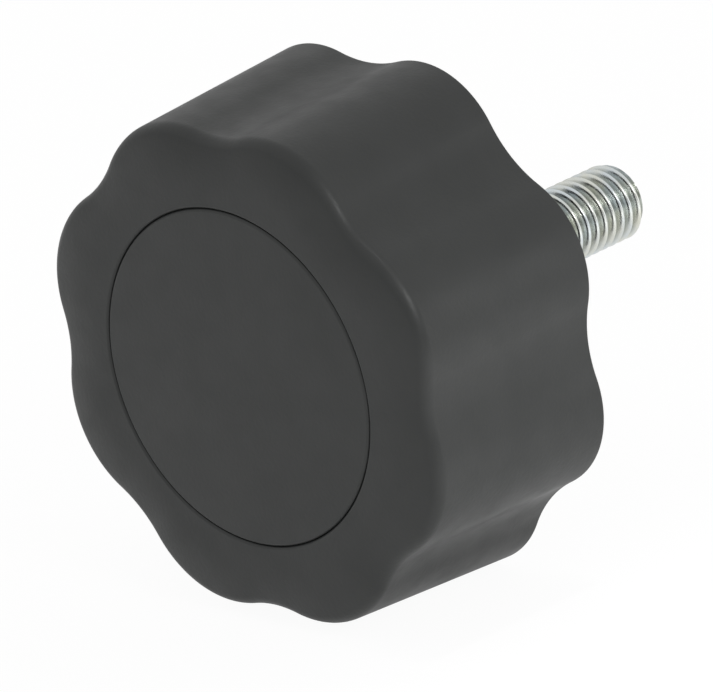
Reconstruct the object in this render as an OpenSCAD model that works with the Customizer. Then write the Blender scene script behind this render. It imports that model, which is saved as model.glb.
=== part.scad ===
// Lobed grip knob: a cored plastic body, a flush snap-in cap and a hexagon-head screw as its stud.
// It lies on two of its lobes. Its axis runs along +Y from the front face to the end of the stud,
// and the origin is the point where that axis meets the seat face of the hub.

/* [Grip] */
// Number of lobes around the grip
lobes = 8; // [6:1:10]
// Diameter over the lobes at the front face
front_d = 50.8; // [48:0.2:54]
// Diameter over the lobes at the back rim
back_d = 53.6; // [50:0.2:58]
// Depth of the flutes at the front face
front_flute = 1.7; // [1:0.1:2.2]
// Depth of the flutes at the back rim
back_flute = 2.3; // [1.4:0.1:3]
// Radius of the hollow of a flute
flute_r = 12.8; // [10:0.1:18]
// Height of the grip from the back rim to the front face
grip_h = 22.9; // [21:0.1:28]
// Radius of the rounding at the front rim
front_edge_r = 1.2; // [0.6:0.1:2]
// Fall of the front face from round the cap to its rim
face_fall = 0.55; // [0.2:0.05:1]
// Width of the part of the front face that falls
face_w = 5.6; // [4:0.1:6]
// Radius of the rounding at the back rim
back_edge_r = 0.2; // [0.1:0.1:1]

/* [Moulded core] */
// Wall of the grip at the bottom of a flute
skirt_wall = 3.2; // [2.4:0.1:4]
// Wall of the front face over the core
face_wall = 3.2; // [2.8:0.1:4]
// Wall round the pocket under the cap
ring_wall = 2.8; // [2:0.1:3.2]
// Floor of the pocket under the cap
web_t = 2.4; // [2:0.1:3]
// Thickness of the ribs between the hub and the grip
rib_t = 2; // [1.4:0.1:2.6]
// Depth of the ribs' edges below the back rim
rib_drop = 1.2; // [0.4:0.1:3]

/* [Hub] */
// Diameter of the hub in the core
hub_d = 22; // [19:0.5:24]
// Diameter of the seat face on the hub
seat_d = 20.6; // [17:0.2:21.6]
// Height of the seat face over the back rim
seat_proud = 0.5; // [0.2:0.1:1.5]
// Thickness of the hub under the head of the screw
hub_floor = 13; // [11:0.5:14.5]
// Wall of the hub round the hexagon pocket
pocket_wall = 2.4; // [1.8:0.1:2.8]
// Depth of the hexagon pocket over the head of the screw
head_cover = 0.3; // [0:0.1:1]

/* [Cap] */
// Diameter of the cap's disc
cap_d = 33.8; // [32:0.1:35]
// Thickness of the cap's disc
cap_t = 2; // [1.6:0.1:2.4]
// Rise of the cap's domed face from its rim to its middle
cap_dome = 0.4; // [0.1:0.05:0.8]
// Bevel round the cap's disc and round its seat
cap_edge = 0.2; // [0.1:0.05:0.6]
// Width of the ledge that carries the cap
ledge_w = 2.2; // [1.6:0.1:2.6]
// Length of the cap's skirt
skirt_l = 5; // [4:0.1:6]
// Thickness of the cap's skirt
skirt_t = 1.4; // [1:0.1:1.6]
// Depth of the pocket under the ledge
pocket_h = 8; // [7:0.1:9]
// Height of the snap bead on the skirt
bead = 0.4; // [0.2:0.05:0.6]
// Number of slots that split the skirt into snap tabs
snap_slots = 6; // [3:1:8]
// Width of those slots
slot_w = 2.2; // [1:0.1:3]

/* [Screw] */
// Outer diameter of the thread
thread_d = 7.9; // [7.5:0.05:8]
// Diameter of the plain shank inside the hub
shank_d = 8; // [8:0.05:8.4]
// Length of the screw under its head
screw_l = 45; // [35:1:60]
// Width of the hexagon head across its flats
head_af = 13; // [12:0.1:14]
// Height of the hexagon head
head_h = 5.3; // [4.5:0.1:6]
// Bevel at the end of the thread
end_bevel = 1; // [0.4:0.1:1.5]
// Diameter of the run-out groove between the shank and the thread
runout_d = 6.4; // [6:0.1:7]
// Width of that groove
runout_w = 1.2; // [0.8:0.1:2]
// Start of the thread behind the seat face
thread_z = 0.2; // [0.1:0.1:0.5]

/* [Fits] */
// Gap round the cap's disc
cap_gap = 0.05; // [0.05:0.05:0.3]
// Gap round the cap's skirt and its bead
skirt_gap = 0.15; // [0.05:0.05:0.3]
// Gap on each side of the screw's head and shank
screw_gap = 0.05; // [0.02:0.01:0.2]

/* [Hidden] */
$fn = 96;

// Points on each arc of the lobed outline, and steps across the face's fall and round a rim
arc_steps = 5;
face_steps = 3;
edge_steps = 4;
// Sections between the two rims, so that the grip's sides bend smoothly
side_steps = 3;
// Steps from the middle of the cap's dome to its rim
dome_steps = 6;
// How far a cutter runs past the face that it opens
past = 1;

// Angles of the lobed outline: two lobes straddle the lowest point, which local +Y becomes
lobe_step = 360 / lobes;
half = lobe_step / 2;
first_lobe = 90 + half;

// Levels along the axis, from the seat face at 0 forwards to the front face
back_z = -seat_proud;
front_z = back_z - grip_h;
rim_z = front_z + face_fall;
ledge_z = front_z + cap_t;
pocket_z = ledge_z + pocket_h;
core_z = pocket_z + web_t;
groove_z = front_z + face_wall;
head_z = -hub_floor;
hub_top_z = head_z - head_h - head_cover;
end_z = screw_l - hub_floor;

// Radii of the fits, each from the piece that it holds
cap_seat_r = cap_d / 2 + cap_gap;
pocket_r = cap_seat_r - ledge_w;
ring_r = pocket_r + ring_wall;
skirt_r = pocket_r - skirt_gap;
bead_z = ledge_z + skirt_l - 3 * bead;
head_r = head_af / 2 / cos(30);
socket_r = (head_af / 2 + screw_gap) / cos(30);
hub_front_r = socket_r + pocket_wall;

// Colours of the black moulding and of the zinc plating
plastic = [0.255, 0.26, 0.255];
zinc = [0.74, 0.76, 0.74];

function direction(angle) = [cos(angle), sin(angle)];
function rotated(p, angle) = [p.x * cos(angle) - p.y * sin(angle), p.x * sin(angle) + p.y * cos(angle)];
function between(a, b, t) = a + (b - a) * t;

// Radius of a lobe's crest that runs into the flutes on a common tangent:
// the crest touches the radius tip, and the flute's centre lies flute_r outside its bottom.
function crest_r(tip, bottom) =
    let (centre = bottom + flute_r)
    (tip ^ 2 + centre ^ 2 - 2 * tip * centre * cos(half) - flute_r ^ 2)
    / (2 * (tip + flute_r - centre * cos(half)));

// Half a lobe, from its crest on the X axis to just before the bottom of the flute, inset by e
function half_lobe(tip, bottom, e) =
    let (r = crest_r(tip, bottom))
    let (crest_c = [tip - r, 0], flute_c = (bottom + flute_r) * direction(half))
    let (turn = atan2(flute_c.y - crest_c.y, flute_c.x - crest_c.x))
    concat(
        [for (i = [0 : arc_steps - 1]) crest_c + (r - e) * direction(turn * i / arc_steps)],
        [for (i = [0 : arc_steps - 1])
            flute_c - (flute_r + e) * direction(between(turn, half, i / arc_steps))]);

// The whole outline: each lobe's half, the bottom of its flute, and the next lobe's half reversed
function lobed_outline(tip, bottom, e) =
    let (side = half_lobe(tip, bottom, e))
    [for (k = [0 : lobes - 1], i = [0 : 2 * len(side) - 1])
        i < len(side) ? rotated(side[i], first_lobe + k * lobe_step)
        : i == len(side) ? (bottom - e) * direction(first_lobe + k * lobe_step + half)
        : let (p = side[2 * len(side) - i]) rotated([p.x, -p.y], first_lobe + (k + 1) * lobe_step)];

// Sections of the grip as [level, inset]: the fall of the front face, which grows as the square of
// the way to the rim, the front rim's rounding, the sides and the back rim's rounding
function grip_sections() = concat(
    [for (i = [0 : face_steps - 1]) let (t = i / face_steps)
        [front_z + face_fall * t ^ 2, between(face_w, front_edge_r, t)]],
    [for (i = [0 : edge_steps]) let (a = 90 * i / edge_steps)
        [rim_z + front_edge_r * (1 - cos(a)), front_edge_r * (1 - sin(a))]],
    [for (i = [1 : side_steps - 1])
        [between(rim_z + front_edge_r, back_z - back_edge_r, i / side_steps), 0]],
    [for (i = [edge_steps : -1 : 0]) let (a = 90 * i / edge_steps)
        [back_z - back_edge_r * (1 - cos(a)), back_edge_r * (1 - sin(a))]]);

// Radii of the crests and of the flutes' bottoms at a level
function tip_at(z) = between(front_d, back_d, (z - front_z) / grip_h) / 2;
function flute_at(z) = tip_at(z) - between(front_flute, back_flute, (z - front_z) / grip_h);

// The grip as a loft through its sections, each end closed round a point on the axis
module grip_loft() {
    sections = grip_sections();
    rings = [for (s = sections) lobed_outline(tip_at(s[0]), flute_at(s[0]), s[1])];
    count = len(rings[0]);
    last = len(rings) - 1;
    front_c = count * len(rings);
    back_c = front_c + 1;
    points = concat(
        [for (j = [0 : last], p = rings[j]) [p.x, p.y, sections[j][0]]],
        [[0, 0, front_z], [0, 0, back_z]]);
    sides = [for (j = [0 : last - 1], i = [0 : count - 1])
        let (a = j * count + i, b = j * count + (i + 1) % count)
        each [[a, a + count, b + count], [a, b + count, b]]];
    ends = [for (i = [0 : count - 1]) let (n = (i + 1) % count)
        each [[front_c, i, n], [back_c, last * count + n, last * count + i]]];
    polyhedron(points, concat(sides, ends));
}

// The core, open to the back: shallow round the hub, deep behind the front face, with ribs left in it
module back_core() {
    mouth_z = back_z + past;
    wall_r = [for (z = [groove_z, mouth_z]) flute_at(z) - skirt_wall];
    difference() {
        rotate_extrude()
            polygon([
                [hub_d / 2, core_z], [ring_r, core_z], [ring_r, groove_z],
                [wall_r[0], groove_z], [wall_r[1], mouth_z], [hub_d / 2, mouth_z]]);
        for (k = [0 : lobes - 1])
            rotate(first_lobe + half + k * lobe_step)
                translate([0, -rib_t / 2, groove_z - past])
                    cube([back_d / 2, rib_t, back_z - rib_drop - groove_z + past]);
    }
}

// The hollow under the cap: bevelled seat, ledge, groove for the snap bead, and a pocket round the hub
module front_hollow() {
    groove_r = skirt_r + bead + skirt_gap;
    groove_from = bead_z - 2 * bead - skirt_gap;
    groove_to = ledge_z + skirt_l + skirt_gap;
    rotate_extrude()
        polygon([
            [0, front_z - past],
            [cap_seat_r + cap_edge + past, front_z - past],
            [cap_seat_r, front_z + cap_edge],
            [cap_seat_r, ledge_z],
            [pocket_r, ledge_z],
            [pocket_r, groove_from],
            [groove_r, groove_from + groove_r - pocket_r],
            [groove_r, groove_to],
            [pocket_r, groove_to],
            [pocket_r, pocket_z],
            [hub_front_r, pocket_z],
            [hub_front_r, hub_top_z],
            [0, hub_top_z]]);
}

// The hexagon pocket and the hole for the shank
module screw_hole() {
    translate([0, 0, hub_top_z - past])
        cylinder(r = socket_r, h = head_z - hub_top_z + past, $fn = 6);
    translate([0, 0, head_z - past])
        cylinder(d = shank_d + 2 * screw_gap, h = hub_floor + 2 * past);
}

// Turns a shape from the local Z axis to +Y
module along_y() {
    rotate([-90, 0, 0]) children();
}

module knob_body() {
    color(plastic) along_y() difference() {
        union() {
            difference() {
                grip_loft();
                back_core();
            }
            translate([0, 0, core_z]) cylinder(d = seat_d, h = -core_z);
        }
        front_hollow();
        screw_hole();
    }
}

// The cap's face as [radius, level]: its rise falls off as the square of the way from the middle to the rim
function dome() = [for (i = [0 : dome_steps]) let (t = i / dome_steps)
    [(cap_d / 2 - cap_edge) * t, front_z - cap_dome * (1 - t ^ 2)]];

// Domed disc with a bevelled rim, and a skirt of snap tabs with a bead near its end
module front_cap() {
    skirt_z = ledge_z + skirt_l;
    color(plastic) along_y() difference() {
        rotate_extrude()
            polygon(concat(dome(), [
                [cap_d / 2, front_z + cap_edge],
                [cap_d / 2, ledge_z],
                [skirt_r, ledge_z],
                [skirt_r, bead_z - bead],
                [skirt_r + bead, bead_z],
                [skirt_r + bead, bead_z + bead],
                [skirt_r - bead / 2, skirt_z],
                [skirt_r - skirt_t, skirt_z],
                [skirt_r - skirt_t, ledge_z],
                [0, ledge_z]]));
        for (k = [0 : snap_slots - 1])
            rotate(k * 360 / snap_slots)
                translate([skirt_r - skirt_t - past, -slot_w / 2, ledge_z + bead])
                    cube([skirt_t + bead + 2 * past, slot_w, skirt_l + past]);
    }
}

// Screw: bevelled hexagon head, plain shank inside the hub, run-out groove, thread with a bevelled end
module stud() {
    core_r = thread_d / 2 - end_bevel;
    head_top_z = head_z - head_h;
    color(zinc) along_y() union() {
        intersection() {
            translate([0, 0, head_top_z]) cylinder(r = head_r, h = head_h, $fn = 6);
            translate([0, 0, head_top_z])
                cylinder(r1 = head_af / 2, r2 = head_af / 2 + head_h / tan(30), h = head_h);
        }
        rotate_extrude()
            polygon([
                [0, head_z - head_h / 2],
                [shank_d / 2, head_z - head_h / 2],
                [shank_d / 2, thread_z - runout_w],
                [runout_d / 2, thread_z - runout_w],
                [runout_d / 2, thread_z],
                [thread_d / 2, thread_z],
                [thread_d / 2, end_z - end_bevel],
                [core_r, end_z],
                [0, end_z]]);
    }
}

knob_body();
front_cap();
stud();
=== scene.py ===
"""Lobed grip knob: a black moulded body with a cored back, a flush snap-in cap and a zinc-plated screw.

Every piece is a grid of points worked out with numpy. Sizes are in millimetres and become metres
when a mesh is made. The knob's axis runs along +Y from the front face to the end of the stud, and
angles around it run from +X towards +Z.
"""

import bpy
import numpy as np
from mathutils import Matrix, Vector


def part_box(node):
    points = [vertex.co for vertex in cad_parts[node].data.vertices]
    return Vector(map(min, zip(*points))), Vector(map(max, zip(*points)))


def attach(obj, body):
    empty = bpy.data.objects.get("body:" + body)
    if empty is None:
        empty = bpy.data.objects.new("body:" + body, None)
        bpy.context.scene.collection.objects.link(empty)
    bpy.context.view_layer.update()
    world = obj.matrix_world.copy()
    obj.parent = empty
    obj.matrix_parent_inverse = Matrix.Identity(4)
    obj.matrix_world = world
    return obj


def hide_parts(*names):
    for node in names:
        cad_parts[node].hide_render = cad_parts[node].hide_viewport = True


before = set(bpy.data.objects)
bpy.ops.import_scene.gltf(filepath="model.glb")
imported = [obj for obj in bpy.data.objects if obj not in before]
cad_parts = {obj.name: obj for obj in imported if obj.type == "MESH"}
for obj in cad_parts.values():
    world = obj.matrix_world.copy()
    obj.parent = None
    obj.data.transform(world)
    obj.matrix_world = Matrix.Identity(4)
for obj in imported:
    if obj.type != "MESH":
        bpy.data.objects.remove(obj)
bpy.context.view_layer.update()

MM = 0.001


def level_span(node):
    """Lowest and highest level of a CAD node along the knob's axis, in millimetres."""
    low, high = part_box(node)
    return low.y / MM, high.y / MM


# Levels along the axis that the frame gives
FRONT_Y, SEAT_Y = level_span("knob_body")
CAP_TOP_Y, SKIRT_END_Y = level_span("front_cap")
HEAD_TOP_Y, END_Y = level_span("stud")

# Grip: radii over the lobes, depths of the flutes, radius of their hollow, roundings of the rims
LOBES = 8
FRONT_R = 25.4
BACK_R = 26.8
FRONT_FLUTE = 1.7
BACK_FLUTE = 2.3
FLUTE_R = 12.8
FRONT_EDGE = 1.3
BACK_EDGE = 0.2
SEAT_PROUD = 0.5
BACK_Y = SEAT_Y - SEAT_PROUD
GRIP_H = BACK_Y - FRONT_Y
HALF_LOBE = np.pi / LOBES

# Crown of the front face: how far in from the side it begins, and its lean where the rim's rounding begins
FACE_W = 5.6
FACE_LEAN = np.radians(14.8)
RIM_JOIN = FRONT_EDGE * (1 - np.sin(FACE_LEAN))
CROWN_FALL = np.tan(FACE_LEAN) * (FACE_W - RIM_JOIN) / 2
SIDE_Y = FRONT_Y + CROWN_FALL + FRONT_EDGE * np.cos(FACE_LEAN)

# Core in the back: wall of the grip, floor levels and the ribs that cross it
GRIP_WALL = 3.2
FACE_WALL = 3.2
LEDGE_DEPTH = 2.0
POCKET_DEPTH = 8.0
POCKET_FLOOR = 2.4
GROOVE_Y = FRONT_Y + FACE_WALL
LEDGE_Y = FRONT_Y + LEDGE_DEPTH
POCKET_Y = LEDGE_Y + POCKET_DEPTH
CORE_Y = POCKET_Y + POCKET_FLOOR
RING_R = 17.55
RIB_HALF = 1.0
RIB_DRAFT = 0.06
RIB_BELOW_BACK = 1.2
RIB_Y = BACK_Y - RIB_BELOW_BACK

# Radii on a rib's edge that answer the four corners of the core beside it, so that its sides don't cross
RIB_STEPS = (19.6, 18.5, 17.6, 12.2)

# Hub and the hollow under the cap
HUB_R = 11.0
HUB_FILLET = 0.15
SEAT_R = 10.3
BORE_R = 4.05
SOCKET_FLAT = 6.55
SOCKET_BEVEL = 0.2
HEAD_H = 5.3
HUB_PROUD = 0.3
SOCKET_Y = HEAD_TOP_Y + HEAD_H
HUB_TOP_Y = HEAD_TOP_Y - HUB_PROUD
HUB_FRONT_R = 9.96
POCKET_R = 14.75
BEAD_GROOVE_R = 15.15
GROOVE_BEFORE_END = 2.15
GROOVE_PAST_END = 0.15
BEAD_GROOVE_Y = (SKIRT_END_Y - GROOVE_BEFORE_END, SKIRT_END_Y + GROOVE_PAST_END)

# Cap: disc, skirt, snap bead and the slots that split the skirt
CAP_R = 16.9
CAP_SEAT_R = 16.95
CAP_EDGE = 0.2
CAP_RIM_R = CAP_R - CAP_EDGE
CAP_MIDDLE_R = 4.0
SKIRT_R = 14.6
SKIRT_WALL = 1.4
SKIRT_IN_R = SKIRT_R - SKIRT_WALL
ROOT_W = 0.4
BEAD = 0.4
BEAD_Y = SKIRT_END_Y - 3 * BEAD
SNAP_SLOTS = 6
SLOT_HALF = 1.1
SLOT_DRAFT = 0.03
SLOT_STEP = 0.05
SLOT_Y = LEDGE_Y + BEAD
TAB_FILLET = 0.1

# Screw: head, shank, run-out groove and thread, with bevels as (across, along the axis)
HEAD_FLAT = 6.5
HEAD_TOP_R = 6.4
HEAD_CONE = np.radians(30)
HEAD_CONE_H = 0.7
HEAD_MIDDLE = 2.5
HEAD_BEVEL = (0.3, 0.1)
NECK = 0.3
SHANK_R = 4.0
SHANK_BEVEL = (0.1, 0.3)
RUNOUT_R = 3.2
RUNOUT_Y = (-1.0, 0.2)
RUNOUT_FILLET = 0.2
THREAD_R = 3.95
THREAD_PITCH = 1.25
THREAD_DEPTH = 0.66
THREAD_FLATS = 0.9
END_BEVEL = 1.0
SCREW_LINES = 96
ROWS_PER_TURN = 22

# Rounding of the small moulded edges, and of those along the cap's seam
FILLET = 0.3
SEAM_FILLET = 0.09

# How a rounded corner leaves one side and joins the next: shares of the cut along each side, and how far
# along the profile, counted in corners, a whole share reaches
CORNER_SHARES = np.array([[1.4, 0], [1, 0], [0.56, 0.06], [0.25, 0.25], [0.06, 0.56], [0, 1], [0, 1.4]])
CORNER_REACH = 0.1

# Rows beside an edge that keep the shading of its two faces apart, and runs past a profile's end corners
BESIDE = 0.1
RUN = 1.0
SHORT_RUN = 0.5

# How suddenly a band's edge rounds off, the steepest sine of a line's lean, and the angle of a sharp edge
BAND_POWER = 12
STEEPEST = 0.9
SHARP_ANGLE = np.radians(38)

# Black moulding: dark and light colours, roughness, and sizes and depths of its texture
BODY_BLACKS = ((0.023, 0.025, 0.024), (0.029, 0.031, 0.030))
CAP_BLACKS = ((0.024, 0.026, 0.025), (0.030, 0.032, 0.031))
MOULDING_ROUGHNESS = (0.36, 0.46)
CLOUD_SIZE = 8.0
GLOSS_SIZE = 3.0
WAVE_SIZE = 10.0
WAVE_DEPTH = 0.006
GRAIN_SIZE = 0.4
GRAIN_DEPTH = 0.022

# Zinc plating: bluish and yellowish tints, roughness, texture, and the painted shade in the thread's roots
# that stops below the crests
ZINC_TINTS = ((0.78, 0.84, 0.87), (0.88, 0.88, 0.78))
ZINC_ROUGHNESS = (0.16, 0.3)
TINT_SIZE = 3.0
SHEEN_SIZE = 0.8
MARK_SIZE = 0.3
MARK_DEPTH = 0.003
# Painted shade: the colour in the thread's roots, and the plain colour from the depth below the crests
# where it stops
ROOT_SHADE = (0.30, 0.32, 0.29)
UNSHADED = (1, 1, 1)
UNSHADED_DEPTH = 0.15

# Spans in which most values of a noise lie, the second one narrower for patches with clearer borders
NOISE_SPAN = (0.3, 0.7)
PATCH_SPAN = (0.35, 0.65)

# Floor: half its side, paper, and the shares of plain white that the camera and reflections see
FLOOR_HALF = 4000.0
PAPER_COLOUR = (0.82, 0.82, 0.82, 1)
PAPER_ROUGHNESS = 0.9
FLOOR_WHITE_LEVEL = 1.03
FLOOR_WHITE = (0.92, 0.47)

# World: its light low and high, the heights of direction between which that rises, and its shares of white
WHITE = (1, 1, 1, 1)
WORLD_LIGHT = (0.28, 0.665)
WORLD_RISE = (-0.1, 0.45)
WORLD_WHITE = (1, 0.15)

# The photograph's frame, and where and from which side its camera sees the middle of the front face
PHOTO_W, PHOTO_H = 713, 692
FRONT_PIXEL = (236.6, 378.9)
PIXELS_PER_MM = 10.564
CAMERA_DISTANCE = 762.0
AZIMUTH = np.radians(46.19)
ELEVATION = np.radians(19.67)
ROLL = np.radians(-7.37)
SENSOR = 36.0
FARTHEST_M = 100


class Columns:
    """Lines of a grid around the axis: count bands of a fixed half width, with even lines between them.

    A band's lines keep their distance from the band's middle at every radius, so a rib or a slot has
    parallel sides. The lines between two bands share out the angle that is left.
    """

    def __init__(self, count, half_width, draft, band_lines, gap_lines):
        edge = half_width - draft
        inside = edge * np.sin(np.linspace(-np.pi / 2, np.pi / 2, band_lines))
        self.step = 2 * np.pi / count
        self.band = np.tile(np.r_[np.ones(band_lines, bool), np.zeros(gap_lines, bool)], count)
        self.offset = np.tile(np.r_[inside, np.full(gap_lines, half_width + draft)], count)
        self.share = np.tile(np.r_[np.zeros(band_lines), np.linspace(0, 1, gap_lines)], count)
        self.middle = np.repeat(np.arange(count) * self.step, band_lines + gap_lines)
        self.rounding = np.where(self.band, np.abs(self.offset / edge) ** BAND_POWER, 0)

    def angles(self, radius):
        """Angle of each line at a radius: the arc sine of its distance over the radius, and between
        bands the first edge's angle plus the line's share of the angle up to the next edge."""
        lean = np.arcsin(np.clip(self.offset / radius, -STEEPEST, STEEPEST))
        return self.middle + lean + self.share * (self.step - 2 * lean)


def lobed_radius(angle, level, inset):
    """Radius of the grip at an angle and a level, moved in by inset.

    Each section is crests and flutes that meet on a common tangent. Both the crests' and the flutes'
    radii run straight from the front to the back. The polar radius of an arc is its centre's
    distance along the angle plus, on a crest, or minus, in a flute, the root that is left.
    """
    t = (level - FRONT_Y) / GRIP_H
    tip = FRONT_R + (BACK_R - FRONT_R) * t
    bottom = tip - FRONT_FLUTE - (BACK_FLUTE - FRONT_FLUTE) * t
    flute_c = bottom + FLUTE_R
    leg = flute_c * np.cos(HALF_LOBE)
    crest = (tip**2 + flute_c**2 - 2 * tip * leg - FLUTE_R**2) / (2 * (tip + FLUTE_R - leg))
    crest_c = tip - crest
    turn = np.arctan2(flute_c * np.sin(HALF_LOBE), leg - crest_c)
    crest, flute = crest - inset, FLUTE_R + inset
    meet = np.arctan2(crest * np.sin(turn), crest_c + crest * np.cos(turn))
    # Angles from the nearest crest and from the nearest flute: a flute lies at angle 0
    a = np.abs((angle % (2 * HALF_LOBE)) - HALF_LOBE)
    b = HALF_LOBE - a
    on_crest = crest_c * np.cos(a) + np.sqrt(np.maximum(crest**2 - (crest_c * np.sin(a)) ** 2, 0))
    in_flute = flute_c * np.cos(b) - np.sqrt(np.maximum(flute**2 - (flute_c * np.sin(b)) ** 2, 0))
    return np.where(a < meet, on_crest, in_flute)


def lowest(level):
    """Height of the grip's lowest line at a level: the most that its outline reaches below the axis,
    which is its radius times the cosine of the angle from straight down, where a flute lies."""
    angle = np.linspace(0, 2 * HALF_LOBE, num=181)
    return -(lobed_radius(angle, level, 0) * np.cos(angle)).max()


def hexagon_radius(angle, flat):
    """Radius of a hexagon with a corner at angle 0: its flat's distance over the cosine to that flat."""
    return flat / np.cos(angle % (np.pi / 3) - np.pi / 6)


def rounded(corners, cut):
    """A profile through corners of (radius, level), each inner corner rounded over the length cut.

    A rounded point lies at its corner plus cut times shares of the directions to the two neighbours.
    Also gives each point's place along the profile, counted in corners.
    """
    c = np.array(corners, float)
    to_last = c[:-2] - c[1:-1]
    to_next = c[2:] - c[1:-1]
    to_last /= np.linalg.norm(to_last, axis=1, keepdims=True)
    to_next /= np.linalg.norm(to_next, axis=1, keepdims=True)
    back, on = CORNER_SHARES.T[:, None, :, None]
    inner = c[1:-1, None] + cut * (back * to_last[:, None] + on * to_next[:, None])
    place = np.arange(1, len(c) - 1)[:, None] + CORNER_REACH * (on - back)[..., 0]
    points = np.vstack([c[:1], inner.reshape(-1, 2), c[-1:]])
    return points, np.r_[0, place.ravel(), len(c) - 1]


def turned(columns, profile):
    """Rows of a turned surface: each point of the profile carried round the axis."""
    radius, level = np.array(profile, float).T[:, :, None]
    angle = columns.angles(radius)
    return np.stack(np.broadcast_arrays(radius, level, angle), -1)


def banded(columns, profile, band_radius, band_level):
    """Rows of a turned surface that the bands bridge: a band's lines keep the bridge's radius and level,
    with their outermost lines dropped to round the bridge's edges, and the others follow the profile."""
    radius, level = np.array(profile, float).T[:, :, None]
    drop = np.sign(band_level - level.mean()) * FILLET * columns.rounding
    radius = np.where(columns.band, band_radius[:, None], radius)
    level = np.where(columns.band, band_level - drop, level)
    return np.stack([radius, level, columns.angles(radius)], -1)


def lobed(columns, level, inset):
    """Rows of the grip's skin: the lobed outline at each level, moved in by that row's inset."""
    level, inset = np.array(level, float)[:, None], np.array(inset, float)[:, None]
    angle = columns.angles(FRONT_R - inset)
    return np.stack(np.broadcast_arrays(lobed_radius(angle, level, inset), level, angle), -1)


def hexagonal(columns, flats, levels):
    """Rows of a hexagonal hole: a hexagon with those flats at each level."""
    flats, levels = np.array(flats, float)[:, None], np.array(levels, float)[:, None]
    angle = columns.angles(flats)
    return np.stack(np.broadcast_arrays(hexagon_radius(angle, flats), levels, angle), -1)


def quarter(radius, steps):
    """Depth and inset of the points round a quarter circle, from the face to the side."""
    a = np.linspace(0, np.pi / 2, steps)
    return radius * (1 - np.cos(a)), radius * (1 - np.sin(a))


def crowned_rim(crown_steps, edge_steps):
    """Level and inset of the points from the flat of the front face to the side.

    The crown falls as the square of the way run from the flat. The rounding is an arc that leaves the
    crown on a common tangent and turns on to the side.
    """
    run = np.linspace(0, 1, crown_steps)[:-1]
    a = np.linspace(FACE_LEAN, np.pi / 2, edge_steps)
    level = np.r_[FRONT_Y + CROWN_FALL * run**2, SIDE_Y - FRONT_EDGE * np.cos(a)]
    inset = np.r_[FACE_W + (RIM_JOIN - FACE_W) * run, FRONT_EDGE * (1 - np.sin(a))]
    return level, inset


def piece(name, node, rows, material, tips=None):
    """A mesh from rows of (radius, level, angle), which replaces its CAD node and rides on the root.

    Neighbouring rows and lines are joined by quads. The two end rows are closed by triangles to points
    on the axis at the levels in tips. Without tips the last row joins the first, as in a ring.
    """
    count, lines = rows.shape[:2]
    radius, level, angle = np.moveaxis(rows, -1, 0)
    points = np.stack([radius * np.cos(angle), level, radius * np.sin(angle)], -1).reshape(-1, 3)
    index = np.arange(count * lines).reshape(count, lines)
    near = index[:-1] if tips else index
    far = index[1:] if tips else np.roll(index, -1, 0)
    quads = np.stack([near, far, np.roll(far, -1, 1), np.roll(near, -1, 1)], -1).reshape(-1, 4)
    faces = quads.tolist()
    if tips:
        first, last = len(points), len(points) + 1
        points = np.vstack([points, [[0, tip, 0] for tip in tips]])
        ahead = np.roll(index, -1, 1)
        faces += np.stack([np.full(lines, first), index[0], ahead[0]], -1).tolist()
        faces += np.stack([np.full(lines, last), ahead[-1], index[-1]], -1).tolist()
    mesh = bpy.data.meshes.new(name)
    mesh.from_pydata((points * MM).tolist(), [], faces)
    mesh.validate()
    mesh.shade_smooth()
    mesh.set_sharp_from_angle(angle=SHARP_ANGLE)
    mesh.materials.append(material)
    obj = bpy.data.objects.new(name, mesh)
    bpy.context.scene.collection.objects.link(obj)
    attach(obj, "root")
    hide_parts(node)
    return obj


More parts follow.
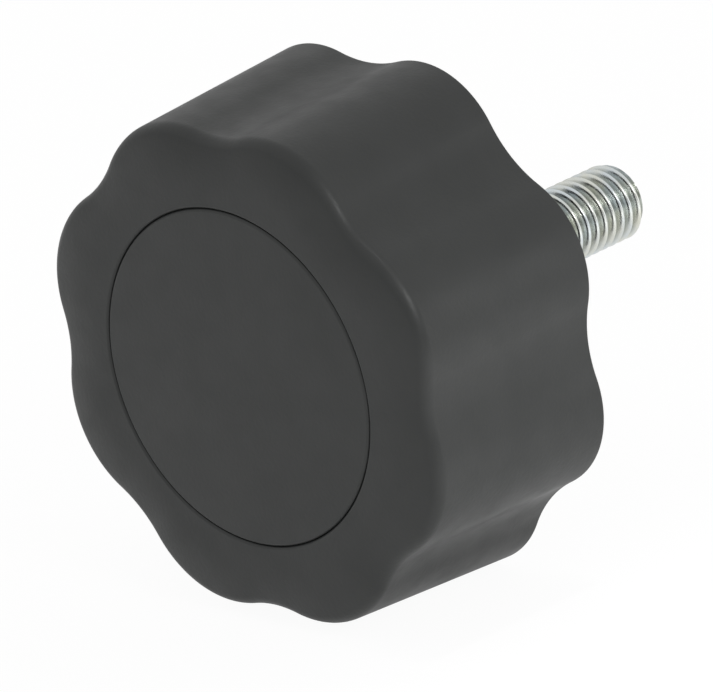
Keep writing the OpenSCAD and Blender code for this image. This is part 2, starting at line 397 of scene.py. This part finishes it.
def grip_body(material):
    """The moulding as one closed ring of rows: its skin from front to back, the ribbed core in the back,
    the hub with its seat face and bore, the hexagon socket, and the hollow under the cap."""
    columns = Columns(LOBES, RIB_HALF, RIB_DRAFT, band_lines=11, gap_lines=45)
    back_depth, back_inset = quarter(BACK_EDGE, steps=6)
    sides = np.linspace(SIDE_Y + BESIDE, BACK_Y - BACK_EDGE - BESIDE, num=8)
    wall_front, wall_rib, wall_back = [
        float(lobed_radius(0, y, 0)) - GRIP_WALL for y in (GROOVE_Y, RIB_Y, BACK_Y)]
    core, place = rounded([
        (wall_rib, RIB_Y), (wall_front, GROOVE_Y), (RING_R, GROOVE_Y), (RING_R, CORE_Y),
        (HUB_R, CORE_Y), (HUB_R, RIB_Y)], FILLET)
    rib_radii = [wall_rib, *RIB_STEPS, HUB_R]
    rib_edge = np.interp(place, range(len(rib_radii)), rib_radii)
    rows = [
        lobed(columns, *crowned_rim(crown_steps=9, edge_steps=10)),
        lobed(columns, sides, 0 * sides),
        lobed(columns, BACK_Y - back_depth[::-1], back_inset[::-1]),
        lobed(columns, [BACK_Y], [BACK_EDGE + BESIDE]),
        turned(columns, rounded([
            (wall_back + RUN, BACK_Y), (wall_back, BACK_Y), (wall_rib, RIB_Y + FILLET)], FILLET)[0]),
        banded(columns, core, rib_edge, RIB_Y),
        turned(columns, rounded([
            (HUB_R, RIB_Y + FILLET), (HUB_R, BACK_Y), (SEAT_R, BACK_Y), (SEAT_R, SEAT_Y),
            (BORE_R, SEAT_Y), (BORE_R, SOCKET_Y + RUN)], HUB_FILLET)[0]),
        turned(columns, [(BORE_R, SOCKET_Y), (BORE_R + 2 * BESIDE, SOCKET_Y)]),
        hexagonal(columns,
                  [SOCKET_FLAT - BESIDE, SOCKET_FLAT, SOCKET_FLAT, SOCKET_FLAT + SOCKET_BEVEL],
                  [SOCKET_Y, SOCKET_Y - BESIDE, HUB_TOP_Y + SOCKET_BEVEL, HUB_TOP_Y]),
        turned(columns, rounded([
            (HUB_FRONT_R - 2 * FILLET, HUB_TOP_Y), (HUB_FRONT_R, HUB_TOP_Y), (HUB_FRONT_R, POCKET_Y),
            (POCKET_R, POCKET_Y), (POCKET_R, BEAD_GROOVE_Y[1] + SHORT_RUN)], FILLET)[0]),
        turned(columns, [
            (POCKET_R, BEAD_GROOVE_Y[1]), (BEAD_GROOVE_R, BEAD_GROOVE_Y[1]),
            (BEAD_GROOVE_R, BEAD_GROOVE_Y[0] + BEAD), (POCKET_R, BEAD_GROOVE_Y[0])]),
        turned(columns, rounded([
            (POCKET_R, BEAD_GROOVE_Y[0] - SHORT_RUN), (POCKET_R, LEDGE_Y), (CAP_SEAT_R, LEDGE_Y),
            (CAP_SEAT_R, FRONT_Y + CAP_EDGE), (CAP_SEAT_R + CAP_EDGE, FRONT_Y),
            (CAP_SEAT_R + RUN, FRONT_Y)], SEAM_FILLET)[0])]
    return piece("grip_body", "knob_body", np.concatenate(rows), material)


def cap_face(radius):
    """Level of the cap's domed face: its rise falls off as the square of the radius over the rim's."""
    return FRONT_Y + (CAP_TOP_Y - FRONT_Y) * (1 - (radius / CAP_RIM_R) ** 2)


def snap_cap(material):
    """Domed disc with a softened rim, turned from its middle to its back, and a skirt of snap tabs."""
    columns = Columns(SNAP_SLOTS, SLOT_HALF, SLOT_DRAFT, band_lines=9, gap_lines=47)
    face_r = np.linspace(CAP_MIDDLE_R, CAP_RIM_R - 2 * CAP_EDGE, num=10)
    face = np.stack([face_r, cap_face(face_r)], -1)
    rim = rounded([
        face[-1], (CAP_RIM_R, FRONT_Y), (CAP_R, FRONT_Y + CAP_EDGE), (CAP_R, LEDGE_Y),
        (SKIRT_R + ROOT_W, LEDGE_Y)], SEAM_FILLET)[0]
    root = [(SKIRT_R, LEDGE_Y), (SKIRT_R, SLOT_Y - SLOT_STEP)]
    tab, place = rounded([
        (SKIRT_R, SLOT_Y), (SKIRT_R, BEAD_Y - BEAD), (SKIRT_R + BEAD, BEAD_Y),
        (SKIRT_R + BEAD, BEAD_Y + BEAD), (SKIRT_R - BEAD / 2, SKIRT_END_Y),
        (SKIRT_IN_R, SKIRT_END_Y), (SKIRT_IN_R, SLOT_Y)], TAB_FILLET)
    slot_floor = np.interp(place, [place[0], place[-1]], [SKIRT_R, SKIRT_IN_R])
    inner = [
        (SKIRT_IN_R, SLOT_Y - SLOT_STEP), (SKIRT_IN_R, LEDGE_Y), (SKIRT_IN_R - ROOT_W, LEDGE_Y),
        (CAP_MIDDLE_R, LEDGE_Y)]
    rows = [
        turned(columns, face[:-1]),
        turned(columns, rim),
        turned(columns, root),
        banded(columns, tab, slot_floor, SLOT_Y),
        turned(columns, inner)]
    return piece("snap_cap", "front_cap", np.concatenate(rows), material, tips=(CAP_TOP_Y, LEDGE_Y))


def thread_radius(angle, level):
    """Radius of the thread: its crest less its depth times the ridge's fall.

    The ridge repeats once a pitch and rises by a pitch in one turn, right-handed. It falls as a cosine
    from crest to root, flattened a little at both, as a rolled thread is. The run-out groove and the
    end cut the ridge with cones.
    """
    phase = (level / THREAD_PITCH + angle / (2 * np.pi)) % 1
    wave = np.cos(2 * np.pi * phase)
    fall = (1 + np.sin(wave * THREAD_FLATS) / np.sin(THREAD_FLATS)) / 2
    ridge = THREAD_R - THREAD_DEPTH * fall
    start = RUNOUT_R + (level - RUNOUT_Y[1])
    end = THREAD_R - END_BEVEL + (END_Y - level)
    return np.minimum(ridge, np.minimum(start, end))


def zinc_screw(material):
    """Hexagon head under a cone, plain shank, run-out groove and thread, turned from head to end."""
    angle = np.arange(SCREW_LINES) * 2 * np.pi / SCREW_LINES
    head_y = np.r_[np.linspace(0, HEAD_CONE_H, num=9), HEAD_MIDDLE, HEAD_H - HEAD_BEVEL[1]]
    cone_r = HEAD_TOP_R + head_y[:, None] / np.tan(HEAD_CONE)
    head_r = np.minimum(hexagon_radius(angle, HEAD_FLAT), cone_r)
    shank = np.array([
        (HEAD_FLAT - HEAD_BEVEL[0], SOCKET_Y), (SHANK_R + NECK, SOCKET_Y), (SHANK_R, SOCKET_Y + NECK),
        (SHANK_R, RUNOUT_Y[0] - SHANK_BEVEL[1]), (SHANK_R - SHANK_BEVEL[0], RUNOUT_Y[0]),
        (RUNOUT_R + RUNOUT_FILLET, RUNOUT_Y[0]), (RUNOUT_R, RUNOUT_Y[0] + RUNOUT_FILLET)])
    turns = (END_Y - RUNOUT_Y[1]) / THREAD_PITCH
    thread_y = np.linspace(RUNOUT_Y[1], END_Y, int(turns * ROWS_PER_TURN))
    blocks = [
        (np.full((1, 1), HEAD_FLAT / 2), np.array([HEAD_TOP_Y])),
        (head_r, HEAD_TOP_Y + head_y),
        (shank[:, :1], shank[:, 1]),
        (thread_radius(angle, thread_y[:, None]), thread_y),
        (np.full((1, 1), THREAD_R / 3), np.array([END_Y]))]
    rows = [np.stack(np.broadcast_arrays(r, y[:, None], angle), -1) for r, y in blocks]
    return piece("zinc_screw", "stud", np.concatenate(rows), material, tips=(HEAD_TOP_Y, END_Y))


class Finish:
    """A material's node tree, with short calls for the nodes that the finishes share."""

    def __init__(self, name):
        self.material = bpy.data.materials.new(name)
        self.material.use_nodes = True
        self.tree = self.material.node_tree
        self.shader = self.tree.nodes["Principled BSDF"]
        self.where = self.tree.nodes.new("ShaderNodeTexCoord").outputs["Object"]

    def node(self, kind, links, **settings):
        """A node with some inputs linked to sockets and other inputs set to numbers."""
        node = self.tree.nodes.new(kind)
        for key, socket in links.items():
            self.tree.links.new(socket, node.inputs[key])
        for key, number in settings.items():
            node.inputs[key.replace("_", " ")].default_value = number
        return node

    def noise(self, size, detail):
        """Noise whose lumps are about that many millimetres across."""
        scale = 1 / (size * MM)
        node = self.node("ShaderNodeTexNoise", {"Vector": self.where}, Scale=scale, Detail=detail)
        return node.outputs["Fac"]

    def spread(self, value, start, stop, low, high):
        """A value that runs from start to stop, spread between low and high."""
        node = self.node("ShaderNodeMapRange", {"Value": value},
                         From_Min=start, From_Max=stop, To_Min=low, To_Max=high)
        return node.outputs["Result"]

    def blend(self, value, low, high):
        """Colours between low and high as the value runs from 0 to 1."""
        ramp = self.node("ShaderNodeValToRGB", {"Fac": value})
        for stop, colour in zip(ramp.color_ramp.elements, (low, high)):
            stop.color = (*colour, 1)
        return ramp.outputs["Color"]

    def from_axis(self):
        """Distance from the knob's axis, in metres: the length of the place without its level."""
        flat = self.node("ShaderNodeVectorMath", {0: self.where})
        flat.operation = "MULTIPLY"
        flat.inputs[1].default_value = (1, 0, 1)
        length = self.node("ShaderNodeVectorMath", {0: flat.outputs["Vector"]})
        length.operation = "LENGTH"
        return length.outputs["Value"]

    def times(self, colour, other):
        """One colour multiplied by another."""
        mix = self.tree.nodes.new("ShaderNodeMix")
        mix.data_type = "RGBA"
        mix.blend_type = "MULTIPLY"
        mix.inputs["Factor"].default_value = 1
        self.tree.links.new(colour, mix.inputs["A"])
        self.tree.links.new(other, mix.inputs["B"])
        return mix.outputs["Result"]

    def bump(self, *layers):
        """Normals from layers of (value, depth in millimetres), each on top of the one before."""
        normal = {}
        for value, depth in layers:
            node = self.node("ShaderNodeBump", {"Height": value, **normal}, Distance=depth * MM)
            normal = {"Normal": node.outputs["Normal"]}
        return normal["Normal"]

    def finish(self, links, **settings):
        """Links and sets the surface's own sockets, and gives the material."""
        for key, socket in links.items():
            self.tree.links.new(socket, self.shader.inputs[key])
        for key, number in settings.items():
            self.shader.inputs[key.replace("_", " ")].default_value = number
        return self.material


def black_moulding(name, low, high):
    """Black plastic from a fine-grained mould: faint clouds of colour and gloss, and shallow waves that
    carry a fine grain."""
    m = Finish(name)
    clouds = m.spread(m.noise(CLOUD_SIZE, detail=3), *NOISE_SPAN, 0, 1)
    waves = m.noise(WAVE_SIZE, detail=1)
    grain = m.noise(GRAIN_SIZE, detail=3)
    return m.finish({
        "Base Color": m.blend(clouds, low, high),
        "Roughness": m.spread(m.noise(GLOSS_SIZE, detail=4), *NOISE_SPAN, *MOULDING_ROUGHNESS),
        "Normal": m.bump((waves, WAVE_DEPTH), (grain, GRAIN_DEPTH))})


def zinc_plate(name):
    """Bright zinc plating: bluish and yellowish patches of passivation, fine rolling marks, and painted
    shade that darkens the roots of the thread."""
    m = Finish(name)
    patches = m.spread(m.noise(TINT_SIZE, detail=3), *PATCH_SPAN, 0, 1)
    # Painted shade: the base colour darkens from just below the crests down into the thread's roots, by
    # the distance from the axis
    root_r, unshaded_r = (THREAD_R - THREAD_DEPTH) * MM, (THREAD_R - UNSHADED_DEPTH) * MM
    root_shade = m.blend(m.spread(m.from_axis(), root_r, unshaded_r, 0, 1), ROOT_SHADE, UNSHADED)
    return m.finish({
        "Base Color": m.times(m.blend(patches, *ZINC_TINTS), root_shade),
        "Roughness": m.spread(m.noise(SHEEN_SIZE, detail=4), *NOISE_SPAN, *ZINC_ROUGHNESS),
        "Normal": m.bump((m.noise(MARK_SIZE, detail=3), MARK_DEPTH))}, Metallic=1)


def bright_when_seen(tree, surface, white, camera_share, other_share):
    """Mixes white into a surface by a share for camera rays and one for glossy and transmission rays."""
    path = tree.nodes.new("ShaderNodeLightPath")
    share = None
    for ray, amount in (("Camera", camera_share), ("Glossy", other_share), ("Transmission", other_share)):
        step = tree.nodes.new("ShaderNodeMath")
        step.operation = "MULTIPLY_ADD"
        tree.links.new(path.outputs[f"Is {ray} Ray"], step.inputs[0])
        step.inputs[1].default_value = amount
        step.inputs[2].default_value = 0
        if share is not None:
            tree.links.new(share, step.inputs[2])
        share = step.outputs["Value"]
    mix = tree.nodes.new("ShaderNodeMixShader")
    tree.links.new(share, mix.inputs["Fac"])
    tree.links.new(surface, mix.inputs[1])
    tree.links.new(white, mix.inputs[2])
    return mix.outputs["Shader"]


def white_floor():
    """A wide pale floor, level, under the grip's lowest line at its wide back rim."""
    x, y = np.array([(-1, -1), (1, -1), (1, 1), (-1, 1)]).T * FLOOR_HALF
    z = np.full(4, lowest(BACK_Y))
    mesh = bpy.data.meshes.new("floor")
    mesh.from_pydata((np.stack([x, y, z], -1) * MM).tolist(), [], [(0, 1, 2, 3)])
    material = bpy.data.materials.new("floor_paper")
    material.use_nodes = True
    tree = material.node_tree
    paper = tree.nodes["Principled BSDF"]
    paper.inputs["Base Color"].default_value = PAPER_COLOUR
    paper.inputs["Roughness"].default_value = PAPER_ROUGHNESS
    white = tree.nodes.new("ShaderNodeEmission")
    white.inputs["Strength"].default_value = FLOOR_WHITE_LEVEL
    surface = bright_when_seen(tree, paper.outputs["BSDF"], white.outputs["Emission"], *FLOOR_WHITE)
    tree.links.new(surface, tree.nodes["Material Output"].inputs["Surface"])
    mesh.materials.append(material)
    floor = bpy.data.objects.new("floor", mesh)
    bpy.context.scene.collection.objects.link(floor)


def studio_world():
    """White surroundings: plain white where they are seen, and elsewhere a light that rises from the
    horizon to the ceiling, by the height of its direction."""
    world = bpy.data.worlds.new("studio")
    bpy.context.scene.world = world
    world.use_nodes = True
    tree = world.node_tree
    light = tree.nodes["Background"]
    light.inputs["Color"].default_value = WHITE
    direction = tree.nodes.new("ShaderNodeTexCoord")
    height = tree.nodes.new("ShaderNodeSeparateXYZ")
    tree.links.new(direction.outputs["Generated"], height.inputs["Vector"])
    rise = tree.nodes.new("ShaderNodeMapRange")
    rise.interpolation_type = "SMOOTHSTEP"
    for key, number in zip(("From Min", "From Max", "To Min", "To Max"), (*WORLD_RISE, *WORLD_LIGHT)):
        rise.inputs[key].default_value = number
    tree.links.new(height.outputs["Z"], rise.inputs["Value"])
    tree.links.new(rise.outputs["Result"], light.inputs["Strength"])
    white = tree.nodes.new("ShaderNodeBackground")
    white.inputs["Color"].default_value = WHITE
    surface = bright_when_seen(
        tree, light.outputs["Background"], white.outputs["Background"], *WORLD_WHITE)
    tree.links.new(surface, tree.nodes["World Output"].inputs["Surface"])


def lamp(name, kind, place, aim, watts, **settings):
    """A lamp of a kind at a place, turned towards a point, both in millimetres, which the camera
    doesn't see."""
    data = bpy.data.lights.new(name, kind)
    data.energy = watts
    for key, value in settings.items():
        setattr(data, key, value)
    obj = bpy.data.objects.new(name, data)
    bpy.context.scene.collection.objects.link(obj)
    obj.location = Vector(place) * MM
    obj.rotation_euler = (Vector(aim) - Vector(place)).to_track_quat("-Z", "Y").to_euler()
    obj.visible_camera = False


def studio_lamps():
    """A spot on the floor beside the knob, whose glow lights its lower side, a low soft box behind on
    the right, and a small light high on the right that draws a line along the front rim."""
    lamp("floor_glow", "SPOT", place=(150, -15, 500), aim=(107, -8, -25), watts=11.5,
         spot_size=np.radians(17), spot_blend=0.4, shadow_soft_size=0.03)
    lamp("side_box", "AREA", place=(535, 445, 95), aim=(24, -10, 0), watts=0.4, size=0.35)
    lamp("rim_light", "AREA", place=(579, -133, 371), aim=(20, -22, 10), watts=0.75, size=0.2)


def photo_camera():
    """The photograph's camera: at its distance from the front face along the azimuth and elevation,
    rolled, then turned a little so that the middle of the front face falls on its pixel."""
    sin_a, cos_a = np.sin(AZIMUTH), np.cos(AZIMUTH)
    sin_e, cos_e = np.sin(ELEVATION), np.cos(ELEVATION)
    towards = np.array([sin_a * cos_e, -cos_a * cos_e, sin_e])
    level = np.array([cos_a, sin_a, 0])
    upright = np.array([-sin_a * sin_e, cos_a * sin_e, cos_e])
    right = np.cos(ROLL) * level + np.sin(ROLL) * upright
    up = np.cos(ROLL) * upright - np.sin(ROLL) * level
    focal = PIXELS_PER_MM * CAMERA_DISTANCE
    back = towards * focal - right * (PHOTO_W / 2 - FRONT_PIXEL[0]) + up * (PHOTO_H / 2 - FRONT_PIXEL[1])
    back /= np.linalg.norm(back)
    right -= back * (right @ back)
    right /= np.linalg.norm(right)
    turn = Matrix(np.stack([right, np.cross(back, right), back], 1).tolist())
    data = bpy.data.cameras.new("camera")
    data.sensor_width = SENSOR
    data.lens = focal * SENSOR / PHOTO_W
    data.clip_end = FARTHEST_M
    camera = bpy.data.objects.new("camera", data)
    bpy.context.scene.collection.objects.link(camera)
    place = np.array([0, FRONT_Y, 0]) + towards * CAMERA_DISTANCE
    camera.matrix_world = Matrix.Translation(Vector(place) * MM) @ turn.to_4x4()
    bpy.context.scene.camera = camera


def main():
    """Makes the three pieces with their finishes, then the floor, the light and the camera."""
    body = grip_body(black_moulding("body_moulding", *BODY_BLACKS))
    cap = snap_cap(black_moulding("cap_moulding", *CAP_BLACKS))
    screw = zinc_screw(zinc_plate("zinc_plating"))
    white_floor()
    studio_world()
    studio_lamps()
    photo_camera()
    bpy.context.scene.view_settings.view_transform = "Standard"


main()
